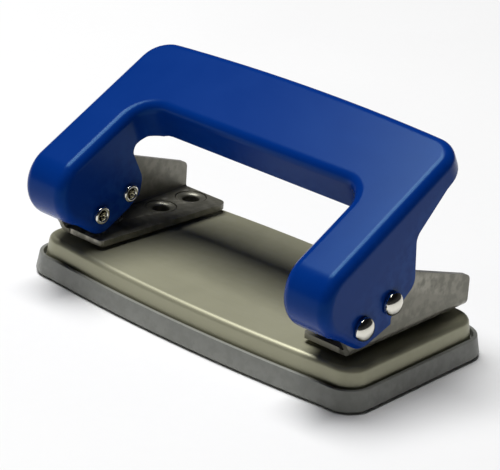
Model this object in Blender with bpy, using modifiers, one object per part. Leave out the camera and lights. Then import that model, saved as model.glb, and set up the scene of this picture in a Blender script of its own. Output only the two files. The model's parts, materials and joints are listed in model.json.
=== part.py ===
"""Two-hole paper punch: pressed-steel base with a plastic chip tray, two side
brackets, a one-piece lever handle, and a spring-returned punch under each leg.

Frame: X runs along the long side, Y runs away from the side where the paper goes in,
Z is up. The origin is the middle of the resting face. Lengths are metres.
"""

import math

import bmesh
import bpy
from mathutils import Matrix, Vector

MM = 0.001
SIDES = (("left", -1), ("right", 1))

# Base: the plan is a rectangle with round corners and bowed long sides.
BASE_HALF_LENGTH = 51.2 * MM
BASE_HALF_WIDTH = 24.0 * MM
BASE_BOW = 3.0 * MM
BASE_CORNER = 6.5 * MM

TRAY_HEIGHT = 5.3 * MM
TRAY_DRAFT = 0.8 * MM
TRAY_FLOOR = 1.5 * MM
TRAY_LEDGE = 3.6 * MM
TRAY_RIM = 1.7 * MM
TRAY_WALL = 3.2 * MM

PLATE_TOP = 9.5 * MM
PLATE_FOOT = 3.9 * MM
PLATE_SHEET = 1.2 * MM
PLATE_INSET = 2.0 * MM
PLATE_TAPER = 0.7 * MM
PLATE_EDGE = 1.2 * MM

# Brackets: a floor over the base and an outer side wall.
PAPER_GAP = 1.0 * MM
BRACKET_SHEET = 1.5 * MM
BRACKET_FLOOR = PLATE_TOP + PAPER_GAP
BRACKET_TOP = BRACKET_FLOOR + BRACKET_SHEET
BRACKET_OUTER = 45.0 * MM
BRACKET_INNER_FRONT = 31.4 * MM
BRACKET_INNER_REAR = 29.2 * MM
BRACKET_FRONT = -18.8 * MM
BRACKET_REAR = 22.2 * MM

# Holes: 80 mm apart, 12 mm in from the paper's edge.
HOLE_SPACING = 80.0 * MM
PUNCH_DIAMETER = 5.5 * MM
PUNCH_CLEARANCE = 0.1 * MM
PUNCH_X = HOLE_SPACING / 2
PUNCH_Y = -7.9 * MM

# Bracket outlines, in mm with each corner's radius: the side wall (y, z), with a lobe round
# the pivot, a peak by the drive slot and a long fall to the rear; and the fold.
BRACKET_WALL = (
    (-18.8, 10.5, 0.6), (22.2, 10.5, 0.6), (22.2, 18.3, 1.6), (-5.0, 27.2, 4.0),
    (-13.0, 27.2, 4.0), (-21.9, 21.4, 3.0), (-21.9, 16.2, 2.0), (-19.4, 12.6, 1.5),
)
FOLD_OUTSIDE = 2.0 * MM
FOLD_INSIDE = 0.5 * MM
WALL_TOP = 40.0 * MM
BEYOND = 30.0 * MM

# Handle: it turns about PIVOT; DRIVE is the rivet that carries the punch.
PIVOT = Vector((0.0, -17.4 * MM, 17.9 * MM))
DRIVE = Vector((0.0, -8.2 * MM, 21.1 * MM))
HANDLE_TILT = math.radians(27.5)
HANDLE_SHEET = 1.2 * MM
FACE_HEIGHT = 16.8 * MM
LEG_OUTER = 46.5 * MM
LEG_INNER = 33.5 * MM
BAR_FRONT = 23.0 * MM
BAR_REAR = 44.6 * MM
BAR_BOW = 1.9 * MM
FACE_RADIUS = 2.6 * MM
NOSE_CENTRE = (-0.3 * MM, 8.0 * MM)
NOSE_RADIUS = 8.85 * MM
NOSE_END = math.radians(219)
NOSE_TOP = math.radians(95)
HANDLE_CORNER = 7.0 * MM
HANDLE_FILLET = 6.0 * MM
HANDLE_FAR = 60.0 * MM
HANDLE_BELOW = -25.0 * MM
LEG_END = -30.0 * MM

# Handle outlines in its own frame, in mm with each corner's radius.
LEG_UNDERSIDE = (
    (60.0, 13.6, 0.0), (34.2, 10.6, 0.0), (22.0, 7.2, 3.0), (17.6, -3.2, 3.0),
    (8.3, -4.9, 0.4), (7.7, -6.3, 0.6), (-2.6, -4.6, 2.2),
)
INNER_SKIRT_TRIM = (
    (-10.0, -5.0, 0.0), (-10.0, -30.0, 0.0), (70.0, -30.0, 0.0), (70.0, 6.4, 0.0),
    (24.0, 6.4, 3.0), (20.0, 8.2, 1.5), (15.0, 8.2, 2.2), (14.9, -1.0, 4.0), (11.5, -5.0, 3.0),
)

RIVET_SHANK = 3.2 * MM
RIVET_CLEARANCE = 0.1 * MM
GAP = 0.3 * MM
PUNCH_STROKE = 5.0 * MM
PUNCH_SHOULDER = 18.5 * MM
PUNCH_HEAD = 3.2 * MM
PUNCH_HEAD_RISE = 3.0 * MM
PUNCH_HOLLOW = 1.0 * MM
CROSS_SLIDE = 0.4 * MM
DOME_RADIUS = 2.75 * MM
DOME_RISE = 1.7 * MM
DOME_RIM = 0.3 * MM
TAIL_RADIUS = 2.15 * MM
TAIL_BORE = 0.85 * MM
TAIL_LENGTH = 0.9 * MM
TAIL_DEPTH = 3.5 * MM

FIXING_SHANK = 5.2 * MM
FIXING_BORE = 4.2 * MM
FIXING_HEAD = 7.4 * MM
FIXINGS = (("front", 38.0 * MM, 7.7 * MM), ("rear", 37.6 * MM, 17.8 * MM))

SPRING_WIRE = 0.4 * MM
SPRING_RADIUS = 3.05 * MM
SPRING_TURNS = 3.5


# ---------------------------------------------------------------- scene and materials

def clear_scene():
    for item in list(bpy.data.objects):
        bpy.data.objects.remove(item, do_unlink=True)


def new_collection(name):
    collection = bpy.data.collections.new(name)
    bpy.context.scene.collection.children.link(collection)
    return collection


def material(name, colour, roughness, metallic):
    made = bpy.data.materials.new(name)
    made.use_nodes = True
    shader = made.node_tree.nodes["Principled BSDF"]
    shader.inputs["Base Color"].default_value = (*colour, 1.0)
    shader.inputs["Roughness"].default_value = roughness
    shader.inputs["Metallic"].default_value = metallic
    made.diffuse_color = (*colour, 1.0)
    return made


clear_scene()
PARTS = new_collection("hole_punch")
CUTTERS = new_collection("cutters")

BLUE_PAINT = material("blue_enamel", (0.012, 0.075, 0.36), 0.3, 0.0)
SATIN_STEEL = material("satin_steel", (0.36, 0.35, 0.29), 0.38, 1.0)
BRACKET_STEEL = material("bracket_steel", (0.25, 0.24, 0.20), 0.4, 1.0)
BRIGHT_STEEL = material("bright_nickel", (0.72, 0.71, 0.66), 0.15, 1.0)
SPRING_STEEL = material("spring_steel", (0.45, 0.45, 0.46), 0.3, 1.0)
GREY_PLASTIC = material("grey_plastic", (0.20, 0.21, 0.20), 0.45, 0.0)


# ---------------------------------------------------------------- outlines

def rounded(corners, steps=6):
    """Closed outline from (x, y, radius) corners, each rounded by an arc."""
    points = []
    count = len(corners)
    for index, (x, y, radius) in enumerate(corners):
        here = Vector((x, y))
        before = Vector(corners[index - 1][:2]) - here
        after = Vector(corners[(index + 1) % count][:2]) - here
        if radius <= 0:
            points.append(here)
            continue
        half = before.angle(after) / 2
        reach = radius / math.tan(half)
        start = here + before.normalized() * reach
        end = here + after.normalized() * reach
        centre = here + (before.normalized() + after.normalized()).normalized() * (radius / math.sin(half))
        first = start - centre
        turn = first.angle_signed(end - centre)
        for step in range(steps + 1):
            points.append(centre + Matrix.Rotation(-turn * step / steps, 2) @ first)
    return points


def in_mm(corners):
    """The same corners in metres."""
    return [tuple(value * MM for value in corner) for corner in corners]


def polar(centre, radius, angle):
    return Vector((centre[0] + radius * math.cos(angle), centre[1] + radius * math.sin(angle)))


def arc(centre, radius, start, end, steps):
    """Points of an arc, angles in radians."""
    return [polar(centre, radius, start + (end - start) * step / steps) for step in range(steps + 1)]


def base_outline(inset, steps=10):
    """Plan of the base, pulled in by the inset, with long sides that bow outwards."""
    half_length = BASE_HALF_LENGTH - inset
    half_width = BASE_HALF_WIDTH - inset
    corner = BASE_CORNER - inset / 2
    straight = half_length - corner
    points = []
    for sign in (1, -1):
        for step in range(steps + 1):
            along = straight * (2 * step / steps - 1)
            bulge = BASE_BOW * (1 - (along / half_length) ** 2)
            points.append(Vector((-sign * along, sign * (half_width + bulge))))
        end = points[-1]
        top = end.y - sign * corner
        start_angle = math.radians(90)
        for step in range(1, 7):
            angle = start_angle + math.radians(90) * step / 6
            offset = Vector((math.cos(angle), math.sin(angle))) * corner * sign
            points.append(Vector((end.x, top)) + offset)
        for step in range(6):
            angle = math.radians(180 + 15 * step)
            offset = Vector((math.cos(angle), math.sin(angle))) * corner * sign
            points.append(Vector((end.x, -top)) + offset)
    return points


# ---------------------------------------------------------------- solids

# How an outline drawn in x and y is turned into the plane it is named for.
PLANES = {
    "XY": Matrix.Identity(4),
    "YZ": Matrix(((0, 0, 1, 0), (1, 0, 0, 0), (0, 1, 0, 0), (0, 0, 0, 1))),
    "XZ": Matrix(((1, 0, 0, 0), (0, 0, -1, 0), (0, 1, 0, 0), (0, 0, 0, 1))),
}


def link(name, mesh, collection, finish=None):
    made = bpy.data.objects.new(name, mesh)
    collection.objects.link(made)
    if finish is not None:
        mesh.materials.clear()
        mesh.materials.append(finish)
    return made


def prism(name, outline, low, high, axes="XY", collection=PARTS, finish=None):
    """Flat outline made solid between two heights. Axes names the outline's plane."""
    curve = bpy.data.curves.new(name, "CURVE")
    curve.dimensions = "2D"
    curve.fill_mode = "BOTH"
    curve.extrude = (high - low) / 2
    spline = curve.splines.new("POLY")
    spline.points.add(len(outline) - 1)
    for point, place in zip(spline.points, outline):
        point.co = (place[0], place[1], 0.0, 1.0)
    spline.use_cyclic_u = True
    flat = bpy.data.objects.new(name + "_outline", curve)
    bpy.context.scene.collection.objects.link(flat)
    graph = bpy.context.evaluated_depsgraph_get()
    mesh = bpy.data.meshes.new_from_object(flat.evaluated_get(graph))
    bpy.data.objects.remove(flat, do_unlink=True)
    bpy.data.curves.remove(curve)
    mesh.name = name
    mesh.transform(PLANES[axes] @ Matrix.Translation((0, 0, (low + high) / 2)))
    tidy_mesh(mesh)
    return link(name, mesh, collection, finish)


def tidy_mesh(mesh):
    """Weld loose caps and point the faces outwards."""
    work = bmesh.new()
    work.from_mesh(mesh)
    bmesh.ops.remove_doubles(work, verts=work.verts, dist=0.00001)
    bmesh.ops.recalc_face_normals(work, faces=work.faces)
    work.to_mesh(mesh)
    work.free()


def boolean(target, cutter, operation="DIFFERENCE"):
    """Cut, join or intersect, then keep the result as the target's own mesh."""
    step = target.modifiers.new(cutter.name, "BOOLEAN")
    step.object = cutter
    step.operation = operation
    step.solver = "EXACT"
    apply_modifiers(target)
    bpy.data.objects.remove(cutter, do_unlink=True)


def apply_modifiers(target):
    graph = bpy.context.evaluated_depsgraph_get()
    mesh = bpy.data.meshes.new_from_object(target.evaluated_get(graph))
    target.modifiers.clear()
    target.data = mesh
    tidy_mesh(mesh)


def turned(name, profile, centre, axis="Z", segments=24, collection=PARTS, finish=None):
    """Turned solid: (radius, height) pairs run down the outer side, from top to bottom."""
    mesh = bpy.data.meshes.new(name)
    points = [(radius, 0.0, height) for radius, height in profile]
    edges = [(index, index + 1) for index in range(len(points) - 1)]
    mesh.from_pydata(points, edges, [])
    made = link(name, mesh, collection, finish)
    screw = made.modifiers.new("turn", "SCREW")
    screw.steps = segments
    screw.render_steps = segments
    screw.use_merge_vertices = True
    screw.merge_threshold = 0.00001
    screw.use_smooth_shade = True
    apply_modifiers(made)
    turn = Matrix.Identity(4)
    if axis == "X":
        turn = Matrix.Rotation(math.radians(90), 4, "Y")
    made.data.transform(Matrix.Translation(centre) @ turn)
    if finish is not None:
        made.data.materials.clear()
        made.data.materials.append(finish)
    return made


def drill(target, centre, radius, low, high, axis="Z", segments=24):
    """Round hole through the target between two places on the axis."""
    profile = [(0.0, high), (radius, high), (radius, low), (0.0, low)]
    cutter = turned(target.name + "_hole", profile, centre, axis, segments, CUTTERS)
    boolean(target, cutter)


def mirror_mesh(made, side):
    """Turn a piece modelled for the right side into the one for the left side."""
    if side < 0:
        made.data.transform(Matrix.Scale(-1, 4, (1, 0, 0)))
        made.data.flip_normals()


def finish_piece(made, colour):
    made.data.materials.clear()
    made.data.materials.append(colour)
    made.data.shade_smooth()
    made.data.set_sharp_from_angle(angle=math.radians(32))


def set_origin(made, place):
    """Put a moving piece's origin on its joint, leaving its shape where it is."""
    made.data.transform(Matrix.Translation(-place))
    made.location = place


# ---------------------------------------------------------------- base

def make_chip_tray():
    tray = make_slab("chip_tray", 0.0, TRAY_DRAFT, 0.0, TRAY_HEIGHT, 0.6 * MM, PARTS)
    seat = prism("seat", base_outline(TRAY_RIM), TRAY_LEDGE, TRAY_HEIGHT + 5 * MM, collection=CUTTERS)
    boolean(tray, seat)
    well = prism("well", base_outline(TRAY_WALL), TRAY_FLOOR, TRAY_HEIGHT + 5 * MM, collection=CUTTERS)
    boolean(tray, well)
    finish_piece(tray, GREY_PLASTIC)


def make_slab(name, inset, taper, low, high, edge, collection):
    """Slab on the base's plan that narrows upwards and has a rounded upper edge."""
    slab = prism(name, base_outline(inset), low, high, collection=collection)
    work = bmesh.new()
    work.from_mesh(slab.data)
    shrink_x = 1 - taper / (BASE_HALF_LENGTH - inset)
    shrink_y = 1 - taper / (BASE_HALF_WIDTH + BASE_BOW - inset)
    upper = [vert for vert in work.verts if vert.co.z > high - 0.1 * MM]
    for vert in upper:
        vert.co.x *= shrink_x
        vert.co.y *= shrink_y
    rim = [item for item in work.edges if is_rim_edge(item, high)]
    bmesh.ops.bevel(work, geom=rim, offset=edge, segments=3, affect="EDGES", profile=0.5)
    bmesh.ops.recalc_face_normals(work, faces=work.faces)
    work.to_mesh(slab.data)
    work.free()
    return slab


def is_rim_edge(edge, top):
    flat = all(abs(vert.co.z - top) < 0.05 * MM for vert in edge.verts)
    return flat and len(edge.link_faces) == 2 and edge.calc_face_angle(0.0) > math.radians(40)


def make_base_plate():
    plate = make_slab("base_plate", PLATE_INSET, PLATE_TAPER, PLATE_FOOT, PLATE_TOP, PLATE_EDGE, PARTS)
    hollow = make_slab("hollow", PLATE_INSET + PLATE_SHEET, PLATE_TAPER, PLATE_FOOT - 3 * MM,
                       PLATE_TOP - PLATE_SHEET, PLATE_EDGE / 2, CUTTERS)
    boolean(plate, hollow)
    for _, side in SIDES:
        die = Vector((side * PUNCH_X, PUNCH_Y, 0.0))
        drill(plate, die, PUNCH_DIAMETER / 2 + PUNCH_CLEARANCE, 0.0, PLATE_TOP + MM)
        for _, x, y in FIXINGS:
            seat = Vector((side * x, y, 0.0))
            drill(plate, seat, FIXING_SHANK / 2 + GAP, 0.0, PLATE_TOP + MM, segments=16)
    finish_piece(plate, SATIN_STEEL)


# ---------------------------------------------------------------- brackets

def bracket_section():
    """The folded sheet seen from the end, (x, z)."""
    wall = BRACKET_OUTER - BRACKET_SHEET
    inner = BRACKET_INNER_REAR - 2 * MM
    return rounded((
        (inner, BRACKET_FLOOR, 0.0),
        (BRACKET_OUTER, BRACKET_FLOOR, FOLD_OUTSIDE),
        (BRACKET_OUTER, WALL_TOP, 0.0),
        (wall, WALL_TOP, 0.0),
        (wall, BRACKET_TOP, FOLD_INSIDE),
        (inner, BRACKET_TOP, 0.0),
    ), steps=4)


def bracket_plan():
    """Plan of the bracket, open at the front of the side wall, where the pivot lobe reaches forward."""
    return rounded((
        (BRACKET_OUTER + MM, BRACKET_REAR, 0.0),
        (BRACKET_INNER_REAR, BRACKET_REAR, 2.2 * MM),
        (BRACKET_INNER_FRONT, BRACKET_FRONT, 1.2 * MM),
        (BRACKET_OUTER - 3 * MM, BRACKET_FRONT, 0.0),
        (BRACKET_OUTER - 3 * MM, -BEYOND, 0.0),
        (BRACKET_OUTER + MM, -BEYOND, 0.0),
    ), steps=4)


def make_bracket(side_name, side):
    bracket = prism(side_name + "_bracket", bracket_section(), -BEYOND, BEYOND, axes="XZ")
    boolean(bracket, prism("wall", rounded(in_mm(BRACKET_WALL), steps=4), 0.0, 2 * BEYOND, axes="YZ",
                           collection=CUTTERS), "INTERSECT")
    boolean(bracket, prism("plan", bracket_plan(), 0.0, 2 * BEYOND, collection=CUTTERS), "INTERSECT")
    guide = Vector((PUNCH_X, PUNCH_Y, 0.0))
    drill(bracket, guide, PUNCH_DIAMETER / 2 + PUNCH_CLEARANCE, BRACKET_FLOOR - MM, BRACKET_TOP + MM)
    for _, x, y in FIXINGS:
        seat = Vector((x, y, 0.0))
        drill(bracket, seat, FIXING_SHANK / 2 + GAP, BRACKET_FLOOR - MM, BRACKET_TOP + MM)
        drill(bracket, seat, FIXING_HEAD / 2 + GAP, BRACKET_TOP - 0.9 * MM, BRACKET_TOP + MM)
    drill(bracket, PIVOT, RIVET_SHANK / 2 + RIVET_CLEARANCE, BRACKET_OUTER - 3 * MM, BRACKET_OUTER + MM, "X")
    boolean(bracket, drive_slot())
    mirror_mesh(bracket, side)
    finish_piece(bracket, BRACKET_STEEL)


def drive_slot():
    """Upright slot in the side wall; its two ends stop the handle."""
    half = RIVET_SHANK / 2 + 0.5 * MM
    low = DRIVE.z - PUNCH_STROKE - RIVET_SHANK / 2 - 2 * RIVET_CLEARANCE
    high = DRIVE.z + RIVET_SHANK / 2 + 2 * RIVET_CLEARANCE
    middle = PUNCH_Y
    outline = rounded((
        (middle - half, low, half * 0.7),
        (middle + half, low, half * 0.7),
        (middle + half, high, half * 0.7),
        (middle - half, high, half * 0.7),
    ), steps=5)
    return prism("slot", outline, BRACKET_OUTER - 3 * MM, BRACKET_OUTER + MM, axes="YZ", collection=CUTTERS)


def make_fixing(side_name, side, place, x, y):
    """Hollow rivet: head in the floor's seat, collar in the paper gap, rolled end under the base."""
    head_top = BRACKET_TOP - 0.1 * MM
    head_foot = BRACKET_TOP - 0.9 * MM + GAP
    collar_top = BRACKET_FLOOR - GAP
    collar_foot = PLATE_TOP + GAP
    roll_top = PLATE_TOP - PLATE_SHEET - GAP
    roll_foot = roll_top - 0.8 * MM
    bore = FIXING_BORE / 2
    shank = FIXING_SHANK / 2
    profile = [
        (bore, head_top - 0.5 * MM),
        (bore + 0.5 * MM, head_top),
        (FIXING_HEAD / 2, head_top),
        (FIXING_HEAD / 2, head_foot),
        (shank, head_foot),
        (shank, collar_top),
        (FIXING_HEAD / 2, collar_top),
        (FIXING_HEAD / 2, collar_foot),
        (shank, collar_foot),
        (shank, roll_top),
        (shank + 0.6 * MM, roll_top),
        (shank + 0.6 * MM, roll_foot),
        (bore, roll_foot),
        (bore, head_top - 0.5 * MM),
    ]
    made = turned(side_name + "_" + place + "_rivet", profile, Vector((side * x, y, 0.0)))
    finish_piece(made, BRACKET_STEEL)


# ---------------------------------------------------------------- handle, in its own frame on the pivot

def leg_profile():
    """Side view of the handle, (along the leg, above the pivot)."""
    foot = (*polar(NOSE_CENTRE, NOSE_RADIUS, NOSE_END), 0.0)
    lower = rounded(in_mm(LEG_UNDERSIDE) + [foot], steps=4)[:-1]
    nose = arc(NOSE_CENTRE, NOSE_RADIUS, NOSE_END, NOSE_TOP, 12)
    return lower + nose + [Vector((HANDLE_FAR, FACE_HEIGHT))]


def leg_hollow_profile():
    """Side view of the space inside the pressing, open below the nose."""
    nose = arc(NOSE_CENTRE, NOSE_RADIUS - HANDLE_SHEET, NOSE_END, NOSE_TOP, 12)
    lip = polar(NOSE_CENTRE, NOSE_RADIUS + MM, NOSE_END)
    opening = [Vector((HANDLE_FAR, HANDLE_BELOW)), Vector((lip.x, HANDLE_BELOW)), lip]
    return opening + nose + [Vector((HANDLE_FAR, FACE_HEIGHT - HANDLE_SHEET))]


def handle_plan(inset):
    """Plan of the U: two legs and a hand bar whose rear edge bows backwards."""
    outer = LEG_OUTER - inset
    inner = LEG_INNER + inset
    front = BAR_FRONT + inset
    corner = HANDLE_CORNER - inset
    fillet = HANDLE_FILLET + inset

    def rear(x):
        return BAR_REAR - inset - BAR_BOW * (x / LEG_OUTER) ** 2

    bow = [(x * MM, rear(x * MM), 0.0) for x in range(36, -37, -6)]
    corners = [(outer, LEG_END, 0.0), (outer, rear(outer), corner)] + bow + [
        (-outer, rear(outer), corner),
        (-outer, LEG_END, 0.0),
        (-inner, LEG_END, 0.0),
        (-inner, front, fillet),
        (inner, front, fillet),
        (inner, LEG_END, 0.0),
    ]
    return rounded(corners)


def is_face_edge(edge):
    """True along the edges where the face or the nose meets a side wall."""
    if len(edge.link_faces) != 2 or edge.calc_face_angle(0.0) < math.radians(50):
        return False
    walls = [face for face in edge.link_faces if abs(face.normal.z) < 0.02 and is_plan_wall(face)]
    crowns = [face for face in edge.link_faces if is_crown(face)]
    return len(walls) == 1 and len(crowns) == 1


def is_plan_wall(face):
    return abs(face.normal.x) > 0.9 or face.calc_center_median().y > 15 * MM


def is_crown(face):
    """True on the face's top and on the nose, which share one smooth run."""
    centre = face.calc_center_median()
    if face.normal.z > 0.9:
        return True
    return centre.y < 1.0 * MM and centre.z > 2.5 * MM and abs(face.normal.x) < 0.1


def press_form(name, profile, plan, radius, collection):
    """One half of the pressing: a side view and a plan, crossed, with its face's edges rounded."""
    form = prism(name, plan, -40 * MM, 40 * MM, collection=collection)
    side = prism(name + "_side", profile, -60 * MM, 60 * MM, axes="YZ", collection=CUTTERS)
    boolean(form, side, "INTERSECT")
    work = bmesh.new()
    work.from_mesh(form.data)
    bmesh.ops.dissolve_limit(work, angle_limit=math.radians(0.5), verts=work.verts, edges=work.edges)
    crown = [edge for edge in work.edges if is_face_edge(edge)]
    bmesh.ops.bevel(work, geom=crown, offset=radius, segments=3, affect="EDGES", profile=0.5)
    bmesh.ops.recalc_face_normals(work, faces=work.faces)
    work.to_mesh(form.data)
    work.free()
    return form


def skirt_trim():
    """What is cut away from the inner skirts: all that is behind the drive rivet and below the bar."""
    reach = LEG_INNER + HANDLE_SHEET + 2 * GAP
    outline = rounded(in_mm(INNER_SKIRT_TRIM), steps=4)
    return prism("trim", outline, -reach, reach, axes="YZ", collection=CUTTERS)


def make_handle():
    handle = press_form("handle", leg_profile(), handle_plan(0.0), FACE_RADIUS, PARTS)
    hollow = press_form("handle_hollow", leg_hollow_profile(), handle_plan(HANDLE_SHEET),
                        FACE_RADIUS - HANDLE_SHEET, CUTTERS)
    boolean(handle, hollow)
    boolean(handle, skirt_trim())
    drive = Matrix.Rotation(-HANDLE_TILT, 4, "X") @ (DRIVE - PIVOT)
    for place in (Vector((0, 0, 0)), drive):
        drill(handle, place, RIVET_SHANK / 2 + RIVET_CLEARANCE, -60 * MM, 60 * MM, "X")
    finish_piece(handle, BLUE_PAINT)
    handle.rotation_euler = (HANDLE_TILT, 0.0, 0.0)
    return handle


def make_leg_rivet(name, side, place):
    """Rivet across a leg: domed head outside, hollow rolled end on the inner skirt."""
    shank = RIVET_SHANK / 2
    head_foot = LEG_OUTER + GAP
    tail_top = LEG_INNER - GAP
    tail_end = tail_top - TAIL_LENGTH
    dome = []
    for step in range(6):
        angle = math.radians(90 - 15 * step)
        dome.append((DOME_RADIUS * math.cos(angle), head_foot + DOME_RIM + DOME_RISE * math.sin(angle)))
    profile = dome + [
        (DOME_RADIUS, head_foot),
        (shank, head_foot),
        (shank, tail_top),
        (TAIL_RADIUS, tail_top),
        (TAIL_RADIUS, tail_end + 0.3 * MM),
        (TAIL_RADIUS - 0.4 * MM, tail_end),
        (TAIL_BORE + 0.3 * MM, tail_end),
        (TAIL_BORE, tail_end + 0.5 * MM),
        (TAIL_BORE, tail_end + TAIL_DEPTH),
        (0.0, tail_end + TAIL_DEPTH),
    ]
    profile[0] = (0.0, profile[0][1])
    rivet = turned(name, profile, Vector((0, 0, 0)), "X")
    mirror_mesh(rivet, side)
    rivet.location = place - PIVOT
    finish_piece(rivet, BRIGHT_STEEL)
    return rivet


# ---------------------------------------------------------------- punches and springs

def make_punch(side_name, side):
    """Punch: cutting end with a hollow tip, and a wider head with a cross slot for the drive rivet."""
    radius = PUNCH_DIAMETER / 2
    tip = BRACKET_FLOOR + GAP
    head_top = DRIVE.z + PUNCH_HEAD_RISE
    profile = [
        (0.0, head_top),
        (PUNCH_HEAD - 0.5 * MM, head_top),
        (PUNCH_HEAD, head_top - 0.5 * MM),
        (PUNCH_HEAD, PUNCH_SHOULDER),
        (radius, PUNCH_SHOULDER),
        (radius, tip),
        (0.0, tip + PUNCH_HOLLOW),
    ]
    punch = turned(side_name + "_punch", profile, Vector((side * PUNCH_X, PUNCH_Y, 0.0)), segments=28)
    reach = RIVET_SHANK / 2 + RIVET_CLEARANCE
    outline = rounded((
        (PUNCH_Y - reach - CROSS_SLIDE, DRIVE.z - reach, reach * 0.9),
        (PUNCH_Y + reach + CROSS_SLIDE, DRIVE.z - reach, reach * 0.9),
        (PUNCH_Y + reach + CROSS_SLIDE, DRIVE.z + reach, reach * 0.9),
        (PUNCH_Y - reach - CROSS_SLIDE, DRIVE.z + reach, reach * 0.9),
    ), steps=5)
    middle = side * PUNCH_X
    boolean(punch, prism("cross", outline, middle - 5 * MM, middle + 5 * MM, axes="YZ", collection=CUTTERS))
    finish_piece(punch, BRIGHT_STEEL)
    set_origin(punch, Vector((middle, PUNCH_Y, 0.0)))
    return punch


def make_spring(side_name, side):
    """Compression spring between the bracket's floor and the punch's shoulder."""
    low = BRACKET_TOP + GAP + SPRING_WIRE / 2
    high = PUNCH_SHOULDER - GAP - SPRING_WIRE / 2
    per_turn = 20
    count = int(SPRING_TURNS * per_turn)
    curve = bpy.data.curves.new(side_name + "_spring", "CURVE")
    curve.dimensions = "3D"
    curve.bevel_depth = SPRING_WIRE / 2
    curve.bevel_resolution = 2
    curve.use_fill_caps = True
    spline = curve.splines.new("POLY")
    spline.points.add(count)
    for index, point in enumerate(spline.points):
        angle = 2 * math.pi * index / per_turn
        x = side * PUNCH_X + SPRING_RADIUS * math.cos(angle)
        y = PUNCH_Y + SPRING_RADIUS * math.sin(angle)
        point.co = (x, y, low + (high - low) * index / count, 1.0)
    flat = bpy.data.objects.new("coil", curve)
    bpy.context.scene.collection.objects.link(flat)
    graph = bpy.context.evaluated_depsgraph_get()
    mesh = bpy.data.meshes.new_from_object(flat.evaluated_get(graph))
    bpy.data.objects.remove(flat, do_unlink=True)
    tidy_mesh(mesh)
    spring = link(side_name + "_spring", mesh, PARTS)
    finish_piece(spring, SPRING_STEEL)
    return spring


# ---------------------------------------------------------------- assembly

def centre_on_origin():
    """Slide the whole object along Y, so that the origin is the middle of its bounding box."""
    nose = PIVOT.y + (Matrix.Rotation(HANDLE_TILT, 2) @ Vector(NOSE_CENTRE)).x - NOSE_RADIUS
    rear = BASE_HALF_WIDTH + BASE_BOW
    for piece in PARTS.objects:
        if piece.parent is None:
            piece.location.y -= (nose + rear) / 2


def main():
    make_chip_tray()
    make_base_plate()
    lever_axis = bpy.data.objects.new("lever_axis", None)
    lever_axis.location = PIVOT
    PARTS.objects.link(lever_axis)
    handle = make_handle()
    handle.parent = lever_axis
    for side_name, side in SIDES:
        make_bracket(side_name, side)
        for place, x, y in FIXINGS:
            make_fixing(side_name, side, place, x, y)
        for name, place in (("_pivot_rivet", PIVOT), ("_drive_rivet", DRIVE)):
            make_leg_rivet(side_name + name, side, place).parent = lever_axis
        make_punch(side_name, side)
        make_spring(side_name, side)
    centre_on_origin()
    print("pieces:", len(PARTS.objects), "handle faces:", len(handle.data.polygons))


main()
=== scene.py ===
# %% [markdown]
# # A two-hole paper punch
#
# The object is a small desk punch: a pressed steel base on a plastic chip tray, two folded
# steel brackets, and one blue enamelled lever that reaches over both. The imported model
# already gives the right sizes and joints. This lesson builds the finished look round it,
# so the first step is to load that model.

import json
import math

import bmesh
import bpy
from mathutils import Matrix, Vector


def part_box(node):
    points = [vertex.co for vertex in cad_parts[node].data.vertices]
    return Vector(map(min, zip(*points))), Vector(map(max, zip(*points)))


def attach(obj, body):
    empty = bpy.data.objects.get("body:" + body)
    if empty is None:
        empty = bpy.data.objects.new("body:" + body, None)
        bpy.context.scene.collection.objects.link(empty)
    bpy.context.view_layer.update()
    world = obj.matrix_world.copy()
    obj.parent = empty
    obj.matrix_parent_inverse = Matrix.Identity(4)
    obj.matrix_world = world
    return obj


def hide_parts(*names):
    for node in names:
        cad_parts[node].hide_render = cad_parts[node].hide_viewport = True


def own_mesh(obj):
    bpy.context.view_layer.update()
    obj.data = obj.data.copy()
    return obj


MM = 0.001
QUARTER_TURN = math.radians(90)

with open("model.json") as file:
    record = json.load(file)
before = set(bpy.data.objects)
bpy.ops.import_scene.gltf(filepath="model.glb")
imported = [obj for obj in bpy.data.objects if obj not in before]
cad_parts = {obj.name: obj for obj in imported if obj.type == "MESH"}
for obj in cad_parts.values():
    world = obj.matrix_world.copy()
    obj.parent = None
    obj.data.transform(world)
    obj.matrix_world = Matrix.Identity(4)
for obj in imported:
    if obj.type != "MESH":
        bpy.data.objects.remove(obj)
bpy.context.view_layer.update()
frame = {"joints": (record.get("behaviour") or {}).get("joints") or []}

# %% [markdown]
# ## Where things are
#
# Everything is placed from the loaded model: the lever turns about the hinge's own point,
# and each punch stands on the middle of its box. The side list lets one cell make a pair.

# %% Key places
HINGE = next(joint for joint in frame["joints"] if joint["name"] == "lever_hinge")
PIVOT = Vector(HINGE["pos_m"])
SIDES = (("left", -1), ("right", 1))


def middle(node):
    """Middle of a loaded node's box."""
    low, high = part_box(node)
    return (low + high) / 2


PUNCH_PLACE = middle("right_punch")
FIXING_PLACES = {place: middle("right_" + place + "_rivet") for place in ("front", "rear")}
DRIVE = Vector((0.0, middle("right_drive_rivet").y, middle("right_drive_rivet").z))
CENTRE_Y = middle("base_plate").y
print("pivot", PIVOT, "drive", DRIVE, "base middle", CENTRE_Y)

# %% [markdown]
# ## Small tools for working by hand
#
# Every piece below is drawn and pulled about in edit mode. An operator acts on whatever is
# selected, so the habit is always the same: let go of everything, hold one piece, pick the
# corners, edges or faces by where they are, and only then use the tool.

# %% Hold, pick and leave
SAME_PLACE = 0.02 * MM
SAME_POINT = 0.001 * MM
SLIVER = 0.002 * MM
ROUND_STEPS = 48


def hold(piece):
    """Select one piece alone and make it the active one."""
    bpy.ops.object.select_all(action="DESELECT")
    piece.select_set(True)
    bpy.context.view_layer.objects.active = piece


def start_work(piece):
    hold(piece)
    bpy.ops.object.mode_set(mode="EDIT")


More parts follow.
